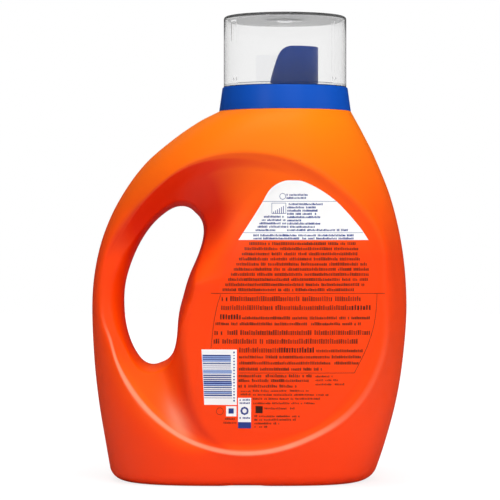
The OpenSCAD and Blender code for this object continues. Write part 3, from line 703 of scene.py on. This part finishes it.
# Rows of marks as [left end, right end, height], and the stripes and their side marks as upright rows
fine_rows = [(-0.8 - 1.58 * k, end, 140.2 - 2.95 * k)
             for k, end in enumerate((61, 62.5, 62, 63.5, 67.5, 68.5, 68.5, 68, 66, 60))]
large_rows = [(-15.6, 65, 107.9), (-17.1, 58, 102.8), (-19.8, 69.3, 88.4), (-20.2, 62, 83.4),
              (-5.4, 17.5, 78.3)]
bold_rows = [(59.5, 69.5, 102.8), (-18, -5.4, 97.4), (18.8, 36.8, 78.3)]
middle_rows = [(-4, 69.2, 97.4), (-19.2, 64, 94), (39, 65, 78.4), (-5.4, 64, 74.9), (-5.4, 62.5, 71.4),
               (-5.6, 41.5, 67.9)]
lower_rows = [(-5.8, 35.5, 64), (-5.8, 33.8, 61.3), (-5.8, 26.8, 58.1)]
small_rows = [(38.5, 47.7, 64), (38.5, 50.7, 61.8), (38.5, 54.4, 59.4), (2.5, 33.8, 55.7), (2.5, 45.2, 53.4),
              (2.5, 40.4, 51.1), (2.5, 37.4, 48.5), (3.3, 28.6, 41), (3.3, 26.4, 39), (3.3, 16.9, 36.8),
              (3.3, 9.9, 34.9), (-4.6, 0.3, 55.4), (-4.6, 0.3, 53.6), (-13.6, -7.8, 39.4),
              (-14.6, -7.8, 37.2), (9.1, 25.7, 45.5)]
panel_rows = [(22.2, end, 163.3 - 1.87 * k)
              for k, end in enumerate((42, 38, 39, 39, 40.5, 29.5, 40.5, 37.5, 56.5))]
panel_rows += [(start, end, 156.1 - 1.94 * k)
               for k, (start, end) in enumerate(((8.8, 19.4), (7.5, 20.5), (6.2, 21), (5.1, 21), (4, 14.7)))]
panel_rows += [(21.8, 33.3, 168.7), (21.8, 33.3, 166.9), (2.7, 59.9, 145.3), (2.7, 59.8, 143.5),
               (-5.3, 0, 50.4), (-5.3, 0, 48.6), (-5.3, 0, 40), (-8.9, -8.3, 77.8)]
stripe_rows, side_rows = [((-18, 51.9), (-18.9, 76.1))], [((-8.8, 50), (-8.8, 78))]
# Each kind of row: pitch, smallest and largest mark, filled share, seed and ink
printed = [
    printed_rows(fine_rows, 1.0, (0.55, 1.3), (0.9, 1.9), 0.94, 3, brown_ink),
    printed_rows(middle_rows, 1.0, (0.55, 1.2), (0.9, 1.8), 0.93, 5, brown_ink),
    printed_rows(large_rows, 1.25, (0.5, 2.1), (0.85, 3.0), 0.93, 7, deep_ink),
    printed_rows(bold_rows, 1.45, (0.75, 2.3), (1.15, 3.1), 0.94, 9, dark_ink),
    printed_rows(lower_rows, 1.1, (0.5, 1.1), (0.95, 1.9), 0.86, 11, brown_ink),
    printed_rows(small_rows, 0.9, (0.4, 0.7), (0.8, 1.2), 0.86, 13, brown_ink),
    printed_rows(panel_rows, 0.8, (0.45, 0.8), (0.78, 1.25), 0.94, 15, blue_ink),
    printed_rows(stripe_rows, 1.15, (16.2, 0.22), (16.2, 0.85), 1, 17, blue_ink, 12),
    printed_rows(side_rows, 1.7, (0.9, 0.5), (0.9, 1.0), 0.9, 19, blue_ink)]

label_work = bmesh.new()
label_work.from_mesh(label.data)


def print_on_label(mesh):
    """Adds a mesh to the label's work mesh, with the label's last material on its faces."""
    before = len(label_work.faces)
    label_work.from_mesh(mesh)
    label_work.faces.ensure_lookup_table()
    for face in label_work.faces[before:]:
        face.material_index = len(label.data.materials) - 1


for rows_mesh, used in printed:
    label.data.materials.append(used)
    lay_on_face(rows_mesh)
    print_on_label(rows_mesh)
    bpy.data.meshes.remove(rows_mesh)
for shapes, top, used in ((white_fields, field_top, white_ink), (blue_blocks, mark_top, blue_ink),
                          (brown_rules, mark_top, brown_ink), (blue_rules, mark_top, blue_ink),
                          (pale_bars, bar_top, pale_ink), (dark_blocks, mark_top, dark_ink)):
    label.data.materials.append(used)
    for shape in shapes:
        part = mesh_from_grids("print_part", sheet_grids(shape, film_top - ink_sunk, top))
        print_on_label(part.data)
        bpy.data.objects.remove(part)
label_work.to_mesh(label.data)
label_work.free()
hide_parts("back_label")
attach(label, "container")

# The pour collar is one blue polypropylene moulding that snaps over the neck: a coned skirt, an inner wall,
# a trough floor that falls towards the grip, and the spout with its drain slot. It is threaded for the cap.
shoulder = body_h
collar_top_r, collar_h, collar_wall, fit_gap = 37.5, 14.3, 1.5, 0.2
rim_z = shoulder + collar_h
wall_in_r = neck_r - wall - fit_gap
cup_r = wall_in_r - collar_wall
socket_r, socket_top = neck_r + bead + fit_gap, shoulder + neck_h + fit_gap
drain_drop, floor_fall = 6.5, radians(5)
floor_z = shoulder - drain_drop
low_floor_z = floor_z - wall_in_r * np.tan(floor_fall)
spout_r, spout_wall, spout_h, spout_dip, slot_w = 14.8, 1.4, 24.2, 3, 7
spout_x = neck_x + 5.1
# The spout's slanting cut, as [place from its foot, height over the rim]
slant = [[0, 0], [1.9, 7], [4, 14], [5.5, 18.3], [7.3, 21.4], [9.7, 23.3], [12.7, 24.2]]


def rounded(corners, radii, steps=5):
    """A closed profile with each corner rounded by its own radius."""
    corners = np.array(corners, float)
    path = []
    for k, radius in enumerate(radii):
        here, last, ahead = corners[k], corners[k - 1], corners[(k + 1) % len(corners)]
        back, on = last - here, ahead - here
        back, on = back / np.hypot(*back), on / np.hypot(*on)
        half = np.arccos(np.clip(back @ on, -1, 1)) / 2
        if radius == 0 or half > 1.55:
            path.append(here)
            continue
        reach_back = radius / np.tan(half)
        for t in np.linspace(0, 1, steps + 1):
            path.append(here + reach_back * ((1 - t) ** 2 * back + t ** 2 * on))
    return np.array(path)


def turned(profile, steps=192):
    """A ring turned about the neck's axis from a closed profile of [radius, height]."""
    turn = np.arange(steps + 1) * 2 * pi / steps
    loop = np.vstack([profile, profile[:1]])
    return np.stack([neck_x + loop[:, :1] * np.cos(turn), loop[:, :1] * np.sin(turn),
                     np.repeat(loop[:, 1:], steps + 1, 1)], -1)


collar_profile = rounded(
    [[collar_low_r, shoulder], [collar_top_r, rim_z], [cup_r, rim_z], [cup_r, low_floor_z],
     [wall_in_r, low_floor_z], [wall_in_r, socket_top], [socket_r, socket_top], [socket_r, shoulder]],
    [0.4, 0.7, 0.5, 0.3, 0.3, 0.3, 0.3, 0.3])

# The trough's floor, from the spout's bore out to the inner wall
floor_turn = np.arange(97) * 2 * pi / 96
floor_r = np.linspace(spout_r - spout_wall, wall_in_r - 0.2, 12)[:, None]
floor_out = (floor_r - floor_r[0]) / (floor_r[-1] - floor_r[0])
floor_px = (1 - floor_out) * spout_x + floor_out * neck_x + floor_r * np.cos(floor_turn)
floor_py = floor_r * np.sin(floor_turn)
floor_pz = floor_z + (floor_px - neck_x) * np.tan(floor_fall)
floor_top = np.stack([floor_px, floor_py, floor_pz + collar_wall], -1)
floor_under = np.stack([floor_px, floor_py, floor_pz], -1)
floor_grids = [floor_top, floor_under, np.stack([floor_top[0], floor_under[0]]),
               np.stack([floor_top[-1], floor_under[-1]])]

# The spout is a tube with a rounded lip along its slanting cut
spout_turn = np.linspace(0, 2 * pi, 145)
spout_foot = spout_x - spout_r
spout_low = floor_z - spout_dip


def spout_top(r):
    """Height of the slanting cut over each place round the spout."""
    reach_in = np.clip(spout_x + r * np.cos(spout_turn) - spout_foot, 0, slant[-1][0])
    return rim_z + np.minimum(along(slant, reach_in), spout_h)


lip = 0.35
outer_up = np.linspace(0, 1, 20)[:, None]
outer_top = spout_top(spout_r) - lip
inner_r = spout_r - spout_wall
inner_top = spout_top(inner_r) - lip


def tube_grid(radii, heights):
    """Points round the spout at radii and heights of their own."""
    return np.stack([spout_x + radii * np.cos(spout_turn), radii * np.sin(spout_turn), heights], -1)


outer_side = tube_grid(np.full_like(outer_up, spout_r), spout_low + (outer_top - spout_low) * outer_up)
inner_side = tube_grid(np.full_like(outer_up, inner_r), spout_low + (inner_top - spout_low) * outer_up)
lip_turn = np.linspace(0, pi / 2, 4)[:, None]
outer_lip = tube_grid(spout_r - lip * (1 - np.cos(lip_turn)), outer_top + lip * np.sin(lip_turn))
inner_lip = tube_grid(inner_r + lip * (1 - np.cos(lip_turn)), inner_top + lip * np.sin(lip_turn))
spout_grids = [outer_side, inner_side, outer_lip, inner_lip, np.stack([outer_lip[-1], inner_lip[-1]]),
               np.stack([outer_side[0], inner_side[0]])]

# The thread on the inner wall, as a ridge along a helix that starts and ends flat
thread_pitch = 4.0
ridge_h, ridge_turns, ridge_drop, ridge_sunk, ridge_fade = 0.45, 1.6, 7.9, 0.3, 0.06
ridge_half_foot, ridge_half_top = 0.8, 0.3
ridge_way = np.linspace(0, 1, 160)[:, None]
ridge_turn = ridge_way * ridge_turns * 2 * pi
ridge_rise = ridge_h * ease(ridge_way / ridge_fade) * ease((1 - ridge_way) / ridge_fade)
ridge_foot, ridge_top = cup_r + ridge_sunk + 0 * ridge_rise, cup_r - ridge_rise
ridge_r = np.hstack([ridge_foot, ridge_top, ridge_top, ridge_foot, ridge_foot])
ridge_z = rim_z - ridge_drop + ridge_way * ridge_turns * thread_pitch + np.array(
    [-ridge_half_foot, -ridge_half_top, ridge_half_top, ridge_half_foot, -ridge_half_foot])
ridge_grid = np.stack([neck_x + ridge_r * np.cos(ridge_turn), ridge_r * np.sin(ridge_turn), ridge_z], -1)

blue, tree, shader = material("blue_polypropylene")
z, place = object_place(tree)[2:]
mottled = math_node(tree, "MULTIPLY_ADD", noise(tree, place, 60), 3 * mm, z)
# From a little above the rim the spout is painted a darker blue: painted shade inside the cap
blue_with_cap_shade = ramp(tree, math_node(tree, "MULTIPLY_ADD", mottled, 1 / (50 * mm), -4.2),
             [(0.3, (0.001, 0.072, 0.45)), (0.52, (0.001, 0.075, 0.46)), (0.64, (0.001, 0.05, 0.33)),
              (1.0, (0.001, 0.06, 0.41))])
tree.links.new(blue_with_cap_shade, shader.inputs["Base Color"])
shader.inputs["Roughness"].default_value = 0.42
shader.inputs["Specular IOR Level"].default_value = 0.25
tree.links.new(bump(tree, noise(tree, place, 1200), 0.02 * mm), shader.inputs["Normal"])

collar = mesh_from_grids("pouring_collar", [turned(collar_profile)], 50)
collar_work = bmesh.new()
collar_work.from_mesh(collar.data)
# The drain slot is cut through the spout's wall on the trough's low side
slot_low, slot_high = low_floor_z + collar_wall, low_floor_z + collar_wall + 2 * slot_w
slot_x = np.array([spout_x - spout_r - 1, spout_x])
slot_box = np.array([[[slot_x[k], side * slot_w / 2, level] for level in (slot_low, slot_high)]
                     for k, side in ((0, -1), (1, -1), (1, 1), (0, 1), (0, -1))])
slot_ends = [slot_box[[[0, 1], [3, 2]], row] for row in (0, 1)]
cutter = mesh_from_grids("slot_cutter", [slot_box] + slot_ends)
spout = mesh_from_grids("spout_part", spout_grids, 50)
slot_cut = spout.modifiers.new("drain_slot", "BOOLEAN")
slot_cut.operation = "DIFFERENCE"
slot_cut.object = cutter
slot_cut.solver = "EXACT"
spout_mesh = bpy.data.meshes.new_from_object(spout.evaluated_get(bpy.context.evaluated_depsgraph_get()))
spout.modifiers.remove(slot_cut)
collar_work.from_mesh(spout_mesh)
bpy.data.objects.remove(cutter)
bpy.data.objects.remove(spout)
for name, grids in (("floor_part", floor_grids), ("thread_part", [ridge_grid])):
    part = mesh_from_grids(name, grids, 50)
    collar_work.from_mesh(part.data)
    bpy.data.objects.remove(part)
collar_work.to_mesh(collar.data)
collar_work.free()
collar.data.materials.append(blue)
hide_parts("pour_collar")
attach(collar, "container")

# The measuring cap is one clear polypropylene moulding, a cup turned upside down. Its threaded skirt goes
# down inside the collar, and fine raised lines on its side measure the dose.
cap_r, cap_h, cap_wall = 36.7, 42.5, 1.6
cap_edge_r, cap_in_r, cap_break = 1.7, 0.9, 0.3
skirt_h, thread_room, thread_h = 9, 1.2, 0.5
gate_r, gate_h, gate_slope = 5, 0.7, 0.8
skirt_r = cup_r - thread_room
cap_top = rim_z + cap_h
cap_steps = 600


def arc(centre_r, centre_z, radius, start, stop, steps):
    """Points of a rounded corner, from one angle to another."""
    turn = np.radians(np.linspace(start, stop, steps))
    return np.column_stack([centre_r + radius * np.cos(turn), centre_z + radius * np.sin(turn)])


def straight(start, stop, steps):
    """Points of a straight line of a profile."""
    return np.linspace(start, stop, steps)


seat_z, skirt_low = rim_z + fit_gap, rim_z - skirt_h
cap_in_top, cap_bore, skirt_bore = cap_top - cap_wall, cap_r - cap_wall, skirt_r - cap_wall
cap_profile = np.vstack([
    straight((0.0, cap_top), (cap_r - cap_edge_r, cap_top), 5)[:-1],
    arc(cap_r - cap_edge_r, cap_top - cap_edge_r, cap_edge_r, 90, 0, 10),
    straight((cap_r, cap_top - cap_edge_r), (cap_r, seat_z + cap_break), 66)[1:],
    arc(cap_r - cap_break, seat_z + cap_break, cap_break, 0, -90, 4)[1:],
    straight((cap_r - cap_break, seat_z), (skirt_r, seat_z), 3)[1:],
    straight((skirt_r, seat_z), (skirt_r, skirt_low + cap_break), 40)[1:],
    straight((skirt_r - cap_break, skirt_low), (skirt_bore + cap_break, skirt_low), 3),
    straight((skirt_bore, skirt_low + cap_break), (skirt_bore, seat_z + cap_wall), 4),
    straight((skirt_bore, seat_z + cap_wall), (cap_bore, seat_z + cap_wall), 3)[1:],
    straight((cap_bore, seat_z + cap_wall), (cap_bore, cap_in_top - cap_in_r), 4)[1:],
    arc(cap_bore - cap_in_r, cap_in_top - cap_in_r, cap_in_r, 0, 90, 8)[1:],
    straight((cap_bore - cap_in_r, cap_in_top), (gate_r, cap_in_top), 4)[1:],
    straight((gate_r - gate_slope, cap_in_top - gate_h), (0.0, cap_in_top - gate_h), 3)])
cap_turn = np.arange(cap_steps + 1) * 2 * pi / cap_steps
cap_radius = np.repeat(cap_profile[:, :1], cap_steps + 1, 1)
cap_height = np.repeat(cap_profile[:, 1:], cap_steps + 1, 1)
over_rim = cap_height - rim_z


def raised_line(off, half_width):
    """A low rounded ridge, 1 on its middle and 0 past its half width."""
    return np.maximum(0, 1 - (off / half_width) ** 2)


def round_cap(degrees):
    """How far each place lies round the cap from one that is given in degrees from the front."""
    return np.angle(np.exp(1j * (cap_turn + pi / 2 - radians(degrees)))) * cap_r


# Raised uprights as degrees from the front, lower and upper end and the heights of their level lines, with a
# small ring below each pair
mark_h, upright_half, level_half, level_w, upright_share = 0.3, 0.45, 0.6, 5.5, 0.6
ring_r, ring_half = 1.5, 0.7
on_side = (np.abs(cap_radius - cap_r) < 0.01) & (cap_height > seat_z + 0.4)
on_side = on_side & (cap_height < cap_top - cap_edge_r)
dose_mark = np.zeros_like(cap_radius)
for degrees, low, high, levels in ((52, 7, 38, (7, 22)), (48.5, 7, 38, ()), (-53, 26, 38, (26, 38)),
                                   (-61, 26, 38, ())):
    off = round_cap(degrees)
    upright = raised_line(off, upright_half) * ((over_rim > low) & (over_rim < high))
    dose_mark = np.maximum(dose_mark, upright_share * upright)
    for level in levels:
        level_line = raised_line(over_rim - level, level_half) * ((off > -level_w) & (off < 0.3))
        dose_mark = np.maximum(dose_mark, level_line)
for degrees, ring_z in ((52, 4.2), (-55, 4.2)):
    from_ring = np.hypot(round_cap(degrees), over_rim - ring_z) - ring_r
    dose_mark = np.maximum(dose_mark, raised_line(from_ring, ring_half))
cap_radius = cap_radius + mark_h * dose_mark * on_side

# The thread on the skirt, which fades out at both ends
thread_down, thread_up, thread_half = 0.8, 0.6, 1.0
on_skirt = (np.abs(cap_radius - skirt_r) < 0.01) & (over_rim < -thread_down)
on_skirt = on_skirt & (over_rim > thread_up - skirt_h)
thread_off = (cap_height - cap_turn / (2 * pi) * thread_pitch) % thread_pitch - thread_pitch / 2
thread_fade = ease(-thread_down - over_rim) * ease(over_rim + skirt_h - thread_up)
cap_radius = cap_radius + thread_h * raised_line(thread_off, thread_half) * thread_fade * on_skirt
cap_grid = np.stack([neck_x + cap_radius * np.cos(cap_turn), cap_radius * np.sin(cap_turn), cap_height], -1)

# The underside of the cap's top is left rough and greyer, and the plastic darkens where it is seen edge on
clear, tree, shader = material("clear_polypropylene")
shader.inputs["Transmission Weight"].default_value = 1.0
shader.inputs["IOR"].default_value = 1.49
x, y, z, place = object_place(tree)
off_x = math_node(tree, "SUBTRACT", x, neck_x * mm)
off_axis = math_node(tree, "MULTIPLY_ADD", off_x, off_x, math_node(tree, "MULTIPLY", y, y))
inside_cap = math_node(tree, "LESS_THAN", math_node(tree, "SQRT", off_axis), (cap_bore - 0.2) * mm)
underside = math_node(tree, "MULTIPLY", math_node(tree, "COMPARE", z, cap_in_top * mm, 0.3 * mm), inside_cap)
tree.links.new(math_node(tree, "MULTIPLY_ADD", underside, 0.3, 0.04), shader.inputs["Roughness"])
clouds = ramp(tree, noise(tree, place, 40), [(0.3, (0.985, 0.985, 0.985)), (0.7, (0.995, 0.995, 0.995))])
tree.links.new(blended(tree, underside, clouds, (0.8, 0.8, 0.805)), shader.inputs["Base Color"])
thickness = tree.nodes.new("ShaderNodeVolumeAbsorption")
thickness.inputs["Color"].default_value = (0.02, 0.02, 0.02, 1)
thickness.inputs["Density"].default_value = 20
tree.links.new(thickness.outputs[0], tree.nodes["Material Output"].inputs["Volume"])
cap = mesh_from_grids("clear_cap", [cap_grid], 60)
cap.data.materials.append(clear)
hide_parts("measuring_cap")
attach(cap, "cap")

# The floor is a plain pale plane. Seen by the camera or through the clear cap it also glows, more so far
# away, so that it runs into the white backdrop, and it keeps the bottle's shadow.
floor_size = 6.0
floor_mesh = bpy.data.meshes.new("floor")
floor_corners = [(-1, -1), (1, -1), (1, 1), (-1, 1)]
floor_mesh.from_pydata([(a * floor_size / 2, b * floor_size / 2, 0) for a, b in floor_corners], [],
                       [(0, 1, 2, 3)])
floor = bpy.data.objects.new("floor", floor_mesh)
bpy.context.scene.collection.objects.link(floor)
pale, tree, shader = material("pale_floor")
shader.inputs["Roughness"].default_value = 0.9
x, y, z, place = object_place(tree)
tree.links.new(ramp(tree, noise(tree, place, 3), [(0.0, (0.84, 0.84, 0.84)), (1.0, (0.86, 0.86, 0.86))]),
               shader.inputs["Base Color"])
glow_near, glow_growth, glow_strength, glossy_dimmed = 0.72, 0.2, 1.12, 0.92
ray = tree.nodes.new("ShaderNodeLightPath")
seen = math_node(tree, "MAXIMUM", ray.outputs["Is Camera Ray"], ray.outputs["Is Transmission Ray"])
glow = tree.nodes.new("ShaderNodeEmission")
glow.inputs["Color"].default_value = (1, 1, 1, 1)
glow_mix = tree.nodes.new("ShaderNodeMixShader")
away = math_node(tree, "SQRT", math_node(tree, "ADD", math_node(tree, "MULTIPLY", x, x),
                                         math_node(tree, "MULTIPLY", y, y)))
glow_share = math_node(tree, "MINIMUM", math_node(tree, "MULTIPLY_ADD", away, glow_growth, glow_near), 1.0)
dimmed = math_node(tree, "MULTIPLY", ray.outputs["Is Glossy Ray"], glossy_dimmed)
tree.links.new(math_node(tree, "MAXIMUM", math_node(tree, "MULTIPLY", seen, glow_share), dimmed),
               glow_mix.inputs[0])
tree.links.new(math_node(tree, "MULTIPLY", seen, glow_strength), glow.inputs["Strength"])
tree.links.new(shader.outputs[0], glow_mix.inputs[1])
tree.links.new(glow.outputs[0], glow_mix.inputs[2])
tree.links.new(glow_mix.outputs[0], tree.nodes["Material Output"].inputs["Surface"])
floor_mesh.materials.append(pale)
floor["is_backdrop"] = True

# The studio is a white backdrop that gives little light and hardly shows in gloss. Soft boxes light the
# bottle from above, in front, both sides and behind. They don't show through the cap, and only the left one
# shows in gloss.
world = bpy.data.worlds.new("studio")
bpy.context.scene.world = world
world.use_nodes = True
tree = world.node_tree
backdrop = tree.nodes["Background"]
backdrop.inputs["Color"].default_value = (1, 1, 1, 1)
backdrop_light, backdrop_gloss, backdrop_top = 0.22, 0.03, 0.45
ray = tree.nodes.new("ShaderNodeLightPath")
seen = math_node(tree, "MAXIMUM", ray.outputs["Is Camera Ray"], ray.outputs["Is Transmission Ray"])
lit = math_node(tree, "SUBTRACT", backdrop_light,
                math_node(tree, "MULTIPLY", ray.outputs["Is Glossy Ray"], backdrop_light - backdrop_gloss))
heading = tree.nodes.new("ShaderNodeTexCoord")
split = tree.nodes.new("ShaderNodeSeparateXYZ")
tree.links.new(heading.outputs["Generated"], split.inputs[0])
darker_up = tree.nodes.new("ShaderNodeMapRange")
darker_up.inputs["From Min"].default_value = 0.25
darker_up.inputs["From Max"].default_value = 0.8
darker_up.inputs["To Min"].default_value = 1.0
darker_up.inputs["To Max"].default_value = backdrop_top
tree.links.new(split.outputs[2], darker_up.inputs["Value"])
seen = math_node(tree, "MULTIPLY", seen, darker_up.outputs[0])
tree.links.new(math_node(tree, "MAXIMUM", seen, lit), backdrop.inputs["Strength"])


def soft_box(name, place, target, size, power):
    """A rectangular soft light that is turned to its target."""
    lamp = bpy.data.lights.new(name, "AREA")
    lamp.shape = "RECTANGLE"
    lamp.size, lamp.size_y = size
    lamp.energy = power
    box = bpy.data.objects.new(name, lamp)
    bpy.context.scene.collection.objects.link(box)
    box.location = place
    box.rotation_euler = (Vector(target) - Vector(place)).to_track_quat("-Z", "Y").to_euler()
    return box


top = soft_box("top_light", (0, -0.25, 1.3), (0, 0, 0.15), (0.9, 0.7), 10.5)
front = soft_box("front_light", (0.3, -1.4, 0.9), (0, 0, 0.12), (1.0, 0.8), 12.5)
right = soft_box("right_light", (1.1, -0.5, 0.4), (0, 0, 0.12), (0.6, 0.6), 2.5)
left = soft_box("left_light", (-0.62, -0.86, 0.56), (-0.045, -0.044, 0.046), (0.2, 0.2), 1.2)
left.visible_diffuse = False
rear = soft_box("rear_light", (-0.3, 1.5, 0.9), (0, 0, 0.12), (1.0, 0.8), 10)
for lamp in (top, front, right, rear):
    lamp.visible_glossy = False
for lamp in (top, front, right, left, rear):
    lamp.visible_transmission = False

bpy.context.scene.view_settings.view_transform = "Standard"
low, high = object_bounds()
